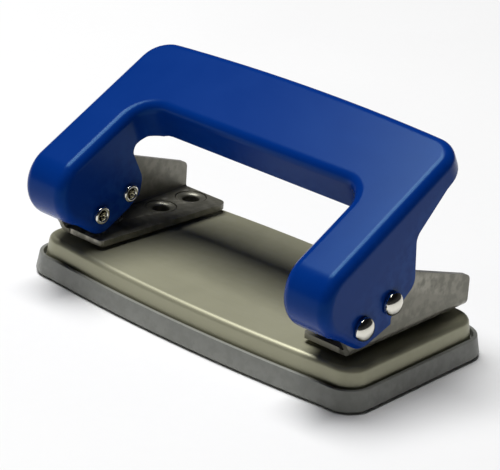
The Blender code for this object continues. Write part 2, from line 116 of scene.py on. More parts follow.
def stop_work():
    bpy.ops.object.mode_set(mode="OBJECT")


def pick(kind, test):
    """In edit mode, select only the verts, edges or faces that pass the test."""
    bpy.ops.mesh.select_mode(type=kind)
    bpy.ops.mesh.select_all(action="DESELECT")
    work = bmesh.from_edit_mesh(bpy.context.object.data)
    items = {"VERT": work.verts, "EDGE": work.edges, "FACE": work.faces}[kind]
    chosen = [item for item in items if test(item)]
    for item in chosen:
        item.select_set(True)
    work.select_flush_mode()
    bmesh.update_edit_mesh(bpy.context.object.data)
    return len(chosen)


def is_at(x, y):
    """A test that passes for a corner at this place of a flat drawing."""
    return lambda vert: abs(vert.co.x - x) < SAME_PLACE and abs(vert.co.y - y) < SAME_PLACE


def is_open(edge):
    """An edge with a face on one side only, where a piece isn't closed."""
    return len(edge.link_faces) == 1


def draw_line(name, points):
    """Shrink a small plane to one point, then pull that point from place to place."""
    bpy.ops.mesh.primitive_plane_add(size=MM, location=(0, 0, 0))
    made = bpy.context.object
    made.name = name
    bpy.ops.object.mode_set(mode="EDIT")
    bpy.ops.mesh.select_mode(type="VERT")
    bpy.ops.mesh.select_all(action="SELECT")
    bpy.ops.mesh.merge(type="CENTER")
    bpy.ops.transform.translate(value=(points[0][0], points[0][1], 0))
    for here, there in zip(points, points[1:]):
        step = (there[0] - here[0], there[1] - here[1], 0)
        bpy.ops.mesh.extrude_vertices_move(TRANSFORM_OT_translate={"value": step})
    return made


def draw_shape(name, corners, segments=8):
    """A filled flat shape from (x, y, radius) corners; each radius is a vertex bevel."""
    made = draw_line(name, corners)
    first, last = corners[0], corners[-1]
    pick("VERT", lambda vert: is_at(*first[:2])(vert) or is_at(*last[:2])(vert))
    bpy.ops.mesh.edge_face_add()
    bpy.ops.mesh.select_all(action="SELECT")
    bpy.ops.mesh.edge_face_add()
    for index, (x, y, radius) in enumerate(corners):
        if radius > 0:
            here = Vector((x, y))
            before = Vector(corners[index - 1][:2]) - here
            after = Vector(corners[(index + 1) % len(corners)][:2]) - here
            reach = radius / math.tan(before.angle(after) / 2)
            pick("VERT", is_at(x, y))
            bpy.ops.mesh.bevel(offset=reach, segments=segments, affect="VERTICES")
    return made


def make_solid(made, low, high, axes="XY"):
    """Pull a flat shape out to a solid between two heights, and turn it to its plane."""
    bpy.ops.mesh.select_all(action="SELECT")
    bpy.ops.transform.translate(value=(0, 0, low))
    bpy.ops.mesh.extrude_region_move(TRANSFORM_OT_translate={"value": (0, 0, high - low)})
    bpy.ops.mesh.select_all(action="SELECT")
    bpy.ops.mesh.normals_make_consistent(inside=False)
    stop_work()
    turns = {"XY": (0, 0, 0), "YZ": (QUARTER_TURN, 0, QUARTER_TURN), "XZ": (QUARTER_TURN, 0, 0)}
    made.rotation_euler = turns[axes]
    bpy.ops.object.transform_apply(location=True, rotation=True, scale=True)
    return made


def carve(piece, cutter, how="DIFFERENCE"):
    """Cut a piece with another one, or keep what they share, and put the cutter away."""
    hold(piece)
    step = piece.modifiers.new("carve", "BOOLEAN")
    step.object = cutter
    step.operation = how
    step.solver = "EXACT"
    bpy.ops.object.modifier_apply(modifier=step.name)
    bpy.data.objects.remove(cutter, do_unlink=True)


def bar(place, radius, length, axis="Z"):
    """A round bar to drill with."""
    turn = {"Z": (0, 0, 0), "X": (0, QUARTER_TURN, 0)}[axis]
    bpy.ops.mesh.primitive_cylinder_add(
        vertices=ROUND_STEPS, radius=radius, depth=length, location=place, rotation=turn)
    bpy.ops.object.transform_apply(location=True, rotation=True, scale=True)
    return bpy.context.object


def soften(piece, width, angle, segments=2):
    """Break the sharp edges, as tumbling and plating do, and keep the flats flat."""
    hold(piece)
    step = piece.modifiers.new("soften", "BEVEL")
    step.width = width
    step.segments = segments
    step.limit_method = "ANGLE"
    step.angle_limit = math.radians(angle)
    step.use_clamp_overlap = True
    bpy.ops.object.modifier_apply(modifier=step.name)
    start_work(piece)
    bpy.ops.mesh.select_all(action="SELECT")
    bpy.ops.mesh.remove_doubles(threshold=SLIVER)
    bpy.ops.mesh.dissolve_degenerate(threshold=SAME_POINT)
    stop_work()


def smooth(piece, angle):
    """Smooth shading up to an angle, with the large flats leading the small bevels."""
    hold(piece)
    bpy.ops.object.shade_smooth_by_angle(angle=math.radians(angle))
    step = piece.modifiers.new("even", "WEIGHTED_NORMAL")
    step.keep_sharp = True
    bpy.ops.object.modifier_apply(modifier=step.name)


def hand_over(piece, material, body, node):
    """Dress a finished piece, and let it ride and stand for its node."""
    piece.data.materials.clear()
    piece.data.materials.append(material)
    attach(piece, body)
    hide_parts(node)
    piece.data.calc_loop_triangles()
    print(piece.name, len(piece.data.loop_triangles), "triangles")


print("tools ready")

# %% [markdown]
# ## Effects that several finishes share
#
# Bare metal, paint and plastic all show the same few things at different strengths: a fine
# grain, slow patches where hands and handling changed the gloss, and lighter edges, which
# stand for edge wear and also paint a highlight along the rims.
# Each is a node group, built once, so a finish is a matter of choosing its numbers.

# %% Group: grain
def new_group(name, inputs, outputs):
    """An empty shader group with named float sockets; inputs carry their usual value."""
    group = bpy.data.node_groups.new(name, "ShaderNodeTree")
    for label, value in inputs:
        kind = "NodeSocketVector" if isinstance(value, tuple) else "NodeSocketFloat"
        socket = group.interface.new_socket(name=label, in_out="INPUT", socket_type=kind)
        socket.default_value = value
    for label in outputs:
        group.interface.new_socket(name=label, in_out="OUTPUT", socket_type="NodeSocketFloat")
    enter = group.nodes.new("NodeGroupInput")
    leave = group.nodes.new("NodeGroupOutput")
    return group, enter, leave


def add(tree, kind, **settings):
    node = tree.nodes.new(kind)
    for label, value in settings.items():
        setattr(node, label, value)
    return node


def make_grain():
    """Noise on the piece's own coordinates, stretched as the surface was worked."""
    group, enter, leave = new_group(
        "worked_grain", (("Scale", 900.0), ("Stretch", (1.0, 1.0, 1.0)), ("Detail", 4.0)), ("Grain",))
    place = add(group, "ShaderNodeTexCoord")
    stretch = add(group, "ShaderNodeVectorMath", operation="MULTIPLY")
    noise = add(group, "ShaderNodeTexNoise")
    noise.inputs["Roughness"].default_value = 0.6
    group.links.new(place.outputs["Object"], stretch.inputs[0])
    group.links.new(enter.outputs["Stretch"], stretch.inputs[1])
    group.links.new(stretch.outputs[0], noise.inputs["Vector"])
    group.links.new(enter.outputs["Scale"], noise.inputs["Scale"])
    group.links.new(enter.outputs["Detail"], noise.inputs["Detail"])
    group.links.new(noise.outputs["Fac"], leave.inputs["Grain"])
    return group


GRAIN = make_grain()
print(GRAIN.name)

# %% Group: patches
def make_patches():
    """Slow cloudy patches between 0 and 1, for handling marks and uneven plating."""
    group, enter, leave = new_group("handling_patches", (("Scale", 60.0), ("Contrast", 0.3)), ("Patch",))
    place = add(group, "ShaderNodeTexCoord")
    noise = add(group, "ShaderNodeTexNoise")
    noise.inputs["Detail"].default_value = 3.0
    noise.inputs["Distortion"].default_value = 0.8
    low = add(group, "ShaderNodeMath", operation="SUBTRACT")
    low.inputs[0].default_value = 0.5
    high = add(group, "ShaderNodeMath", operation="ADD")
    high.inputs[0].default_value = 0.5
    spread = add(group, "ShaderNodeMapRange")
    group.links.new(place.outputs["Object"], noise.inputs["Vector"])
    group.links.new(enter.outputs["Scale"], noise.inputs["Scale"])
    group.links.new(enter.outputs["Contrast"], low.inputs[1])
    group.links.new(enter.outputs["Contrast"], high.inputs[1])
    group.links.new(noise.outputs["Fac"], spread.inputs["Value"])
    group.links.new(low.outputs[0], spread.inputs["From Min"])
    group.links.new(high.outputs[0], spread.inputs["From Max"])
    group.links.new(spread.outputs["Result"], leave.inputs["Patch"])
    return group


PATCHES = make_patches()
print(PATCHES.name)

# %% Group: edge wear and painted highlight
# Lighter edges: partly edge wear, partly a painted highlight along the rims.
def make_wear_and_highlight():
    """1 along outward edges, broken up by noise, and 0 on the flats."""
    group, enter, leave = new_group(
        "edge_wear_and_highlight", (("Start", 0.52), ("Full", 0.62), ("Breakup", 500.0)), ("WearAndHighlight",))
    shape = add(group, "ShaderNodeNewGeometry")
    place = add(group, "ShaderNodeTexCoord")
    noise = add(group, "ShaderNodeTexNoise")
    noise.inputs["Detail"].default_value = 5.0
    edge = add(group, "ShaderNodeMapRange")
    broken = add(group, "ShaderNodeMapRange")
    broken.inputs["From Min"].default_value = 0.4
    broken.inputs["From Max"].default_value = 0.6
    both = add(group, "ShaderNodeMath", operation="MULTIPLY")
    group.links.new(shape.outputs["Pointiness"], edge.inputs["Value"])
    group.links.new(enter.outputs["Start"], edge.inputs["From Min"])
    group.links.new(enter.outputs["Full"], edge.inputs["From Max"])
    group.links.new(place.outputs["Object"], noise.inputs["Vector"])
    group.links.new(enter.outputs["Breakup"], noise.inputs["Scale"])
    group.links.new(noise.outputs["Fac"], broken.inputs["Value"])
    group.links.new(edge.outputs["Result"], both.inputs[0])
    group.links.new(broken.outputs["Result"], both.inputs[1])
    group.links.new(both.outputs[0], leave.inputs["WearAndHighlight"])
    return group


WEAR_AND_HIGHLIGHT = make_wear_and_highlight()
print(WEAR_AND_HIGHLIGHT.name)

# %% [markdown]
# ## Finishes
#
# One recipe serves all the finishes. Two shades are mixed by the grain and the patches, the
# edges take a third, lighter colour that stands for wear and also paints a highlight along
# them, the gloss wanders with the patches, and the grain also lifts the surface a little.
# What differs is only how much of each, so the numbers stay in one table per finish, next
# to a sentence on the real surface.

# %% The finish recipe
GRAIN_STRENGTH = 0.35


def use(tree, group, **values):
    node = add(tree, "ShaderNodeGroup", node_tree=group)
    for label, value in values.items():
        node.inputs[label].default_value = value
    return node


def blend_colours(tree, factor, first, second):
    """Mix two colours; either may be a plain colour or another node's output."""
    node = add(tree, "ShaderNodeMix", data_type="RGBA")
    tree.links.new(factor, node.inputs[0])
    for socket, value in ((node.inputs[6], first), (node.inputs[7], second)):
        if isinstance(value, tuple):
            socket.default_value = (*value, 1.0)
        else:
            tree.links.new(value, socket)
    return node.outputs[2]


def to_range(tree, value, low, high):
    node = add(tree, "ShaderNodeMapRange")
    tree.links.new(value, node.inputs["Value"])
    node.inputs["To Min"].default_value = low
    node.inputs["To Max"].default_value = high
    return node.outputs["Result"]


def make_finish(name, light, dark, wear_and_highlight_colour, gloss, metallic=0.0, grain=900.0, stretch=(1.0, 1.0, 1.0),
                patches=60.0, lift=0.02, speck=0.5, sheen=0.5, tint=(1.0, 1.0, 1.0)):
    """A Principled material: two shades, lighter edges for wear and a painted highlight, wandering gloss and
    a lifted grain.
    """
    made = bpy.data.materials.new(name)
    made.use_nodes = True
    tree = made.node_tree
    shader = tree.nodes["Principled BSDF"]
    fine = use(tree, GRAIN, Scale=grain, Stretch=stretch)
    slow = use(tree, PATCHES, Scale=patches)
    wear_and_highlight_mask = use(tree, WEAR_AND_HIGHLIGHT)
    shade = add(tree, "ShaderNodeMath", operation="MULTIPLY_ADD")
    tree.links.new(fine.outputs["Grain"], shade.inputs[0])
    shade.inputs[1].default_value = speck
    half = to_range(tree, slow.outputs["Patch"], 0.0, 1.0 - speck)
    tree.links.new(half, shade.inputs[2])
    body = blend_colours(tree, shade.outputs[0], dark, light)
    # The edges take the lighter colour: edge wear, and a painted highlight.
    whole = blend_colours(tree, wear_and_highlight_mask.outputs["WearAndHighlight"], body, wear_and_highlight_colour)
    tree.links.new(whole, shader.inputs["Base Color"])
    tree.links.new(to_range(tree, slow.outputs["Patch"], *gloss), shader.inputs["Roughness"])
    bump = add(tree, "ShaderNodeBump")
    bump.inputs["Strength"].default_value = GRAIN_STRENGTH
    bump.inputs["Distance"].default_value = lift * MM
    tree.links.new(fine.outputs["Grain"], bump.inputs["Height"])
    tree.links.new(bump.outputs["Normal"], shader.inputs["Normal"])
    shader.inputs["Metallic"].default_value = metallic
    shader.inputs["Specular IOR Level"].default_value = sheen
    shader.inputs["Specular Tint"].default_value = (*tint, 1.0)
    return made


# In each finish the edge colour is lighter than the body: edge wear, and a painted highlight along the
# edges.
# Stove enamel over pressed steel: deep royal blue, satin, slightly orange-peeled.
ENAMEL = make_finish(
    "stove_enamel", light=(0.0010, 0.033, 0.235), dark=(0.0006, 0.026, 0.200), wear_and_highlight_colour=(0.010, 0.060, 0.300),
    gloss=(0.21, 0.26), grain=1400.0, patches=45.0, lift=0.012, speck=0.25, sheen=0.17,
    tint=(0.25, 0.70, 1.0))
# Plated sheet, brushed along its length before it was pressed.
BASE_STEEL = make_finish(
    "brushed_plate", light=(0.420, 0.410, 0.285), dark=(0.360, 0.352, 0.245), wear_and_highlight_colour=(0.46, 0.45, 0.34),
    gloss=(0.41, 0.47), metallic=0.45, grain=500.0, stretch=(0.12, 1.0, 1.0), lift=0.03, speck=0.7)
# The same sheet, thicker, painted darker and browner all over: painted shade, for the shade the brackets
# stand in under the lever.
SHADED_STEEL = make_finish(
    "shaded_plate", light=(0.185, 0.180, 0.145), dark=(0.160, 0.155, 0.125), wear_and_highlight_colour=(0.45, 0.43, 0.36),
    gloss=(0.36, 0.40), metallic=0.6, grain=1500.0, stretch=(1.0, 0.15, 1.0), patches=25.0,
    lift=0.003, speck=0.4)
# Polished nickel on the rivets.
NICKEL = make_finish(
    "polished_nickel", light=(0.80, 0.78, 0.70), dark=(0.66, 0.64, 0.56), wear_and_highlight_colour=(0.88, 0.87, 0.80),
    gloss=(0.08, 0.14), metallic=1.0, grain=2500.0, lift=0.004)
# Hardened and ground tool steel for the punches, and spring wire.
TOOL_STEEL = make_finish(
    "ground_steel", light=(0.42, 0.42, 0.43), dark=(0.30, 0.30, 0.32), wear_and_highlight_colour=(0.60, 0.60, 0.60),
    gloss=(0.20, 0.30), metallic=1.0, grain=1800.0, stretch=(0.1, 0.1, 1.0), lift=0.01)
# Moulded grey polystyrene with a faint sparked texture.
TRAY_PLASTIC = make_finish(
    "moulded_tray", light=(0.235, 0.240, 0.215), dark=(0.205, 0.210, 0.190), wear_and_highlight_colour=(0.36, 0.36, 0.33),
    gloss=(0.38, 0.46), grain=2200.0, patches=35.0, lift=0.02, speck=0.6)
print("finishes:", [item.name for item in bpy.data.materials])

# %% [markdown]
# ## The lever
#
# The real lever is one steel blank, pressed into a channel: a wide face with skirts folded
# down all round and a rounded nose at the foot of each leg. It could be pushed out of a
# subdivided grid, but a press gives true flats and constant radii. So it is made as the
# toolmaker makes the press: an outer form and an inner form, each from a plan of the U
# crossed with a side view, and the sheet is what is left between the two. The folds run on
# past the noses, and the lower edge is trimmed afterwards, so that each fold ends cleanly.

# %% Lever measures
TILT = math.radians(27.5)
FACE_HEIGHT = 16.8 * MM
LEVER_SHEET = 1.2 * MM
LEG_OUTER = 46.5 * MM
LEG_INNER = 33.5 * MM
LEG_END = -30.0 * MM
BAR_FRONT = 23.0 * MM
BAR_REAR = 44.6 * MM
BAR_BOW = 1.9 * MM
FOLD_RADIUS = 2.6 * MM
CORNER_RADIUS = 7.0 * MM
INNER_CORNER_RADIUS = 6.0 * MM
NOSE_PLACE = Vector((0.0, -0.3 * MM, 8.0 * MM))
NOSE_RADIUS = 8.85 * MM
NOSE_FOOT = 219
NOSE_TOP = 95
NOSE_STEPS = 18
FOLD_STEPS = 6
FAR_END = 60.0 * MM
BELOW = -25.0 * MM
FOOT_RUN = 8.0 * MM
FOOT_LIP = 1.0 * MM
FOOT_CLEAR = 4.0 * MM


def in_mm(corners):
    return [tuple(value * MM for value in corner) for corner in corners]


def lever_plan(inset):
    """Plan of the U, pulled in by the inset; the hand bar's rear edge bows backwards."""
    outer, inner = LEG_OUTER - inset, LEG_INNER + inset
    corner, inner_corner = CORNER_RADIUS - inset, INNER_CORNER_RADIUS + inset

    def rear(x):
        return BAR_REAR - inset - BAR_BOW * (x / LEG_OUTER) ** 2

    bow = [(x * MM, rear(x * MM), 0.0) for x in range(36, -37, -6)]
    return ([(outer, LEG_END, 0.0), (outer, rear(outer), corner)] + bow
            + [(-outer, rear(outer), corner), (-outer, LEG_END, 0.0),
               (-inner, LEG_END, 0.0), (-inner, BAR_FRONT + inset, inner_corner),
               (inner, BAR_FRONT + inset, inner_corner), (inner, LEG_END, 0.0)])


def nose_arc(radius):
    """The rounded foot of a leg, from underneath up to the face."""
    angles = [math.radians(NOSE_FOOT + (NOSE_TOP - NOSE_FOOT) * step / NOSE_STEPS)
              for step in range(NOSE_STEPS + 1)]
    return [(NOSE_PLACE.y + radius * math.cos(angle), NOSE_PLACE.z + radius * math.sin(angle), 0.0)
            for angle in angles]


outer_side = [(FAR_END, BELOW, 0.0), (FOOT_RUN, BELOW, 0.0)]
outer_side += nose_arc(NOSE_RADIUS) + [(FAR_END, FACE_HEIGHT, 0.0)]
lip = nose_arc(NOSE_RADIUS + FOOT_LIP)[0]
inner_side = [(FAR_END, BELOW, 0.0), (lip[0], BELOW, 0.0), lip]
inner_side += nose_arc(NOSE_RADIUS - LEVER_SHEET) + [(FAR_END, FACE_HEIGHT - LEVER_SHEET, 0.0)]
foot = nose_arc(NOSE_RADIUS)[0]
past_foot = nose_arc(NOSE_RADIUS + FOOT_CLEAR)[0]
underside = in_mm(((60.0, 13.6, 0.0), (34.2, 10.6, 2.0), (22.0, 7.2, 3.0), (17.6, -3.2, 3.0),
                   (8.3, -4.9, 0.5), (7.7, -6.3, 0.5), (-2.6, -4.6, 2.2)))
underside += [foot, past_foot, (-FAR_END, past_foot[1], 0.0),
              (-FAR_END, 2 * BELOW, 0.0), (FAR_END, 2 * BELOW, 0.0)]
print(len(outer_side), "corners outside,", len(inner_side), "inside,", len(underside), "underneath")

# %% One form of the press
UPRIGHT = 0.02
STRAIGHT = 0.9
ACROSS = 0.1
BAR_STARTS = 15.0 * MM
NOSE_ENDS = 1.0 * MM
NOSE_LOW = 2.0 * MM
PLAN_REACH = 40.0 * MM


def is_wall(face):
    """A skirt: upright, and on the side of a leg or anywhere round the hand bar."""
    on_bar = face.calc_center_median().y > BAR_STARTS
    return abs(face.normal.z) < UPRIGHT and (abs(face.normal.x) > STRAIGHT or on_bar)


def is_crown(face):
    """The flat face, or one of the strips round a nose."""
    spot = face.calc_center_median()
    facing = abs(face.normal.x) < ACROSS and (spot.z > NOSE_LOW or face.normal.z < -ACROSS)
    return face.normal.z > STRAIGHT or (spot.y < NOSE_ENDS and facing)


def is_fold(edge):
    """The edges where the face or a nose turns down into a skirt."""
    if len(edge.link_faces) != 2 or edge.calc_face_angle(0.0) < math.radians(50):
        return False
    walls = [face for face in edge.link_faces if is_wall(face)]
    crowns = [face for face in edge.link_faces if is_crown(face)]
    return len(walls) == 1 and len(crowns) == 1


def press_form(name, inset, side_corners):
    """Plan crossed with side view, and its folds rounded."""
    form = make_solid(draw_shape(name, lever_plan(inset)), -PLAN_REACH, PLAN_REACH)
    side_view = draw_shape("side_view", side_corners, segments=6)
    carve(form, make_solid(side_view, -FAR_END, FAR_END, "YZ"), "INTERSECT")
    start_work(form)
    bpy.ops.mesh.select_all(action="SELECT")
    bpy.ops.mesh.dissolve_limited(angle_limit=math.radians(0.5))
    found = pick("EDGE", is_fold)
    bpy.ops.mesh.bevel(offset=FOLD_RADIUS - inset, segments=FOLD_STEPS, profile=0.5,
                       affect="EDGES", clamp_overlap=False)
    bpy.ops.mesh.select_all(action="SELECT")
    bpy.ops.mesh.normals_make_consistent(inside=False)
    stop_work()
    print(name, "folds", found, "faces", len(form.data.polygons))
    return form


lever = press_form("pressed_lever", 0.0, outer_side)
carve(lever, make_solid(draw_shape("underside", underside, segments=6), -FAR_END, FAR_END, "YZ"))
carve(lever, press_form("inner_form", LEVER_SHEET, inner_side))

# %% Trim the inner skirts and drill for the rivets
TRIM_REACH = LEG_INNER + LEVER_SHEET + 0.6 * MM
THROUGH_LEVER = 120 * MM
LEVER_EDGE = 0.22 * MM
trim = in_mm(((-10.0, -5.0, 0.0), (-10.0, -30.0, 0.0), (70.0, -30.0, 0.0),
              (70.0, 6.4, 0.0), (24.0, 6.4, 3.0), (20.0, 8.2, 1.5),
              (15.0, 8.2, 2.2), (14.9, -1.0, 4.0), (11.5, -5.0, 3.0)))
carve(lever, make_solid(draw_shape("trim", trim), -TRIM_REACH, TRIM_REACH, "YZ"))
RIVET_HOLE = 1.7 * MM
DRIVE_IN_LEVER = Matrix.Rotation(-TILT, 4, "X") @ (DRIVE - Vector((0.0, PIVOT.y, PIVOT.z)))
for spot in (Vector((0, 0, 0)), DRIVE_IN_LEVER):
    carve(lever, bar(spot, RIVET_HOLE, THROUGH_LEVER, "X"))
print("lever drilled", len(lever.data.polygons), "faces")

# %% Close the lever, tilt it up and set it on its pivot
soften(lever, LEVER_EDGE, angle=50)
start_work(lever)
print("open edges", pick("EDGE", is_open))
bpy.ops.mesh.select_all(action="SELECT")
bpy.ops.mesh.fill_holes(sides=4)
bpy.ops.mesh.normals_make_consistent(inside=False)
print("left open", pick("EDGE", is_open))
stop_work()
lever.rotation_euler = (TILT, 0.0, 0.0)
lever.location = (0.0, PIVOT.y, PIVOT.z)
hold(lever)
bpy.ops.object.transform_apply(location=True, rotation=True, scale=True)
smooth(lever, 35)
hand_over(lever, ENAMEL, "lever", "handle")

# %% [markdown]
# ## Turned pieces
#
# Rivets and punches are round, so each is a line drawn as its half section and spun round
# its own axis, as on a lathe. A subdivided cylinder could do it too, but the section line
# keeps every step, rounding and bore where the drawing puts it.

# %% Lathe
def lathe(name, section, place, axis="Z"):
    """Spin a (radius, height) line round the upright axis; -X lays it over to the left."""
    made = draw_line(name, [(radius, height, 0.0) for radius, height in section])
    stop_work()
    made.rotation_euler = (QUARTER_TURN, 0, 0)
    hold(made)
    bpy.ops.object.transform_apply(location=True, rotation=True, scale=True)
    start_work(made)
    bpy.ops.mesh.select_mode(type="VERT")
    bpy.ops.mesh.select_all(action="SELECT")
    bpy.ops.mesh.spin(steps=ROUND_STEPS, angle=2 * math.pi, center=(0, 0, 0), axis=(0, 0, 1))
    bpy.ops.mesh.select_all(action="SELECT")
    bpy.ops.mesh.remove_doubles(threshold=SAME_POINT)
    bpy.ops.mesh.normals_make_consistent(inside=False)
    stop_work()
    made.rotation_euler = (0, {"Z": 0, "X": QUARTER_TURN, "-X": -QUARTER_TURN}[axis], 0)
    made.location = place
    hold(made)
    bpy.ops.object.transform_apply(location=True, rotation=True, scale=True)
    return made


def round_over(centre, radius, start, end, steps):
    """Points of a rounding in a section, (radius, height), angles in degrees."""
    angles = [math.radians(start + (end - start) * step / steps) for step in range(steps + 1)]
    return [(centre[0] + radius * math.cos(angle), centre[1] + radius * math.sin(angle)) for angle in angles]


# %% [markdown]
# ## Leg rivets
#
# Each leg carries two rivets: the front one is the pivot, the rear one drives the punch.
# Outside they have a polished dome, and inside the hollow end is rolled back into a ring.

# %% Leg rivets
HEAD_RADIUS = 2.75 * MM
HEAD_RISE = 1.7 * MM
HEAD_RIM = 0.3 * MM
SHANK_RADIUS = 1.6 * MM
TAIL_RADIUS = 2.15 * MM
TAIL_BORE = 0.85 * MM
TAIL_ROLL = 0.45 * MM
TAIL_DEPTH = 3.0 * MM
SIDE_GAP = 0.3 * MM
DOME_STEP = math.radians(6)
DOME_POINTS = 16


def rivet_section():
    """Half section from the top of the dome to the bottom of the bore."""
    foot = LEG_OUTER + SIDE_GAP
    dome = [(HEAD_RADIUS * math.sin(DOME_STEP * step),
             foot + HEAD_RIM + HEAD_RISE * math.cos(DOME_STEP * step)) for step in range(DOME_POINTS)]
    tail = LEG_INNER - SIDE_GAP
    ring = (TAIL_RADIUS - TAIL_ROLL, tail - TAIL_ROLL)
    rolled = round_over(ring, TAIL_ROLL, 0, -180, 8)
    shank = [(HEAD_RADIUS, foot), (SHANK_RADIUS, foot), (SHANK_RADIUS, tail), (TAIL_RADIUS, tail)]
    bore = [(TAIL_BORE, tail + TAIL_ROLL), (TAIL_BORE, tail + TAIL_DEPTH), (0.0, tail + TAIL_DEPTH)]
    return dome + shank + rolled + bore


for side_name, side in SIDES:
    for place_name in ("pivot", "drive"):
        node = side_name + "_" + place_name + "_rivet"
        spot = middle(node)
        rivet = lathe(side_name + "_" + place_name + "_dome", rivet_section(),
                      (0, spot.y, spot.z), "X" if side > 0 else "-X")
        smooth(rivet, 50)
        hand_over(rivet, NICKEL, "lever", node)

# %% [markdown]
# ## Base plate
#
# The base is one sheet pressed into a shallow box with long sides that bow a little. It is
# drawn flat, pulled up, narrowed towards the top, rounded along the upper edge, opened
# underneath and given its thickness. Then it is drilled for the dies and the rivets.

# %% Base drawings
BASE_HALF_LENGTH = 51.2 * MM
BASE_HALF_WIDTH = 24.0 * MM
BASE_BOW = 3.0 * MM
BASE_CORNER = 6.5 * MM
BOW_STEPS = range(42, -43, -6)
NEAR_TOP = 0.1 * MM
DRILL_LENGTH = 6 * MM


def base_corners(inset):
    """Plan of the base, pulled in by the inset, with bowed long sides."""
    half, width, corner = BASE_HALF_LENGTH - inset, BASE_HALF_WIDTH - inset, BASE_CORNER - inset / 2

    def side(x):
        return width + BASE_BOW * (1 - (x / half) ** 2)

    edge = side(half - corner)
    far = [(x * MM, side(x * MM), 0.0) for x in BOW_STEPS]
    near = [(-x, -y, 0.0) for x, y, _ in far]
    return ([(half, edge, corner)] + far + [(-half, edge, corner), (-half, -edge, corner)]
            + near + [(half, -edge, corner)])


def narrow_top(made, top, taper, inset):
    """Pull the upper rim in by the taper on all sides."""
    start_work(made)
    pick("VERT", lambda vert: vert.co.z > top - NEAR_TOP)
    shrink = (1 - taper / (BASE_HALF_LENGTH - inset), 1 - taper / (BASE_HALF_WIDTH + BASE_BOW - inset), 1)
    bpy.ops.transform.resize(value=shrink, center_override=(0, 0, 0))


def is_rim(top):
    """A test for the sharp edges round a flat top."""
    def test(edge):
        level = all(abs(vert.co.z - top) < NEAR_TOP / 2 for vert in edge.verts)
        return level and len(edge.link_faces) == 2 and edge.calc_face_angle(0.0) > math.radians(40)
    return test


def set_down(made):
    """Move a piece drawn about the base's middle to its place."""
    hold(made)
    made.location.y = CENTRE_Y
    bpy.ops.object.transform_apply(location=True, rotation=True, scale=True)


print(len(base_corners(0.0)), "base corners")

# %% Base plate
PLATE_FOOT = 3.9 * MM
PLATE_TOP = 9.5 * MM
PLATE_INSET = 2.0 * MM
PLATE_TAPER = 0.7 * MM
PLATE_EDGE = 1.2 * MM
PLATE_SHEET = 1.2 * MM
PLATE_BURR = 0.15 * MM
DIE_RADIUS = 2.85 * MM
FIXING_SHANK = 2.6 * MM
FIXING_GAP = 0.3 * MM

plate = make_solid(draw_shape("steel_base", base_corners(PLATE_INSET)), PLATE_FOOT, PLATE_TOP)
narrow_top(plate, PLATE_TOP, PLATE_TAPER, PLATE_INSET)
print("rim edges", pick("EDGE", is_rim(PLATE_TOP)))
bpy.ops.mesh.bevel(offset=PLATE_EDGE, segments=6, profile=0.5, affect="EDGES")
pick("FACE", lambda face: face.normal.z < -0.9)
bpy.ops.mesh.delete(type="FACE")
stop_work()
step = plate.modifiers.new("sheet", "SOLIDIFY")
step.thickness = PLATE_SHEET
step.offset = -1.0
step.use_even_offset = True
hold(plate)
bpy.ops.object.modifier_apply(modifier=step.name)
set_down(plate)
for _, side in SIDES:
    carve(plate, bar((side * PUNCH_PLACE.x, PUNCH_PLACE.y, PLATE_TOP), DIE_RADIUS, DRILL_LENGTH))
    for spot in FIXING_PLACES.values():
        carve(plate, bar((side * spot.x, spot.y, PLATE_TOP), FIXING_SHANK + FIXING_GAP, DRILL_LENGTH))
soften(plate, PLATE_BURR, angle=50)
smooth(plate, 35)
hand_over(plate, BASE_STEEL, "frame", "base_plate")

# %% [markdown]
# ## Chip tray
#
# The grey tray is moulded, so it has draft on its sides, a rim that the plate sits in, a
# ledge for the plate's foot and a well for the chips. Inset and extrude do all of it.

# %% Chip tray
TRAY_TOP = 5.3 * MM
TRAY_DRAFT = 0.8 * MM
TRAY_CHAMFER = 0.9 * MM
TRAY_EDGE = 0.35 * MM
TRAY_STEPS = ((0.9 * MM, 1.7 * MM), (1.5 * MM, 2.1 * MM))

tray = make_solid(draw_shape("chip_catcher", base_corners(0.0)), 0.0, TRAY_TOP)
narrow_top(tray, TRAY_TOP, TRAY_DRAFT, 0.0)
pick("EDGE", is_rim(0.0))
bpy.ops.mesh.bevel(offset=TRAY_CHAMFER, segments=1, affect="EDGES")
pick("FACE", lambda face: face.normal.z > 0.9)
for inwards, down in TRAY_STEPS:
    bpy.ops.mesh.inset(thickness=inwards, use_even_offset=True)
    bpy.ops.mesh.extrude_region_move(TRANSFORM_OT_translate={"value": (0, 0, -down)})
stop_work()
set_down(tray)
soften(tray, TRAY_EDGE, angle=50, segments=3)
smooth(tray, 35)
hand_over(tray, TRAY_PLASTIC, "tray", "chip_tray")

# %% [markdown]
# ## Brackets
#
# Each bracket is a thick sheet folded once: a floor that guides the punch and a side wall
# that carries the pivot. The folded section is drawn and pulled along, then crossed with the
# wall's outline and the floor's plan. One side is made, and the other is its mirror image.

# %% Bracket drawings
BRACKET_FLOOR = 10.5 * MM
BRACKET_SHEET = 1.5 * MM
BRACKET_TOP = BRACKET_FLOOR + BRACKET_SHEET
section = in_mm(((27.2, 10.5, 0.0), (45.0, 10.5, 2.0), (45.0, 40.0, 0.0), (43.5, 40.0, 0.0),
                 (43.5, 12.0, 0.5), (27.2, 12.0, 0.0)))
floor_plan = in_mm(((46.0, 22.2, 0.0), (29.2, 22.2, 2.2), (31.4, -18.8, 1.2), (42.0, -18.8, 0.0),
                    (42.0, -30.0, 0.0), (46.0, -30.0, 0.0)))
wall_outline = in_mm(((-18.8, 10.5, 0.6), (22.2, 10.5, 0.6), (22.2, 18.3, 1.6), (-5.0, 27.2, 4.0),
                      (-13.0, 27.2, 4.0), (-21.9, 21.4, 3.0), (-21.9, 16.2, 2.0), (-19.4, 12.6, 1.5)))
BRACKET_REACH = 60 * MM
BRACKET_BURR = 0.18 * MM
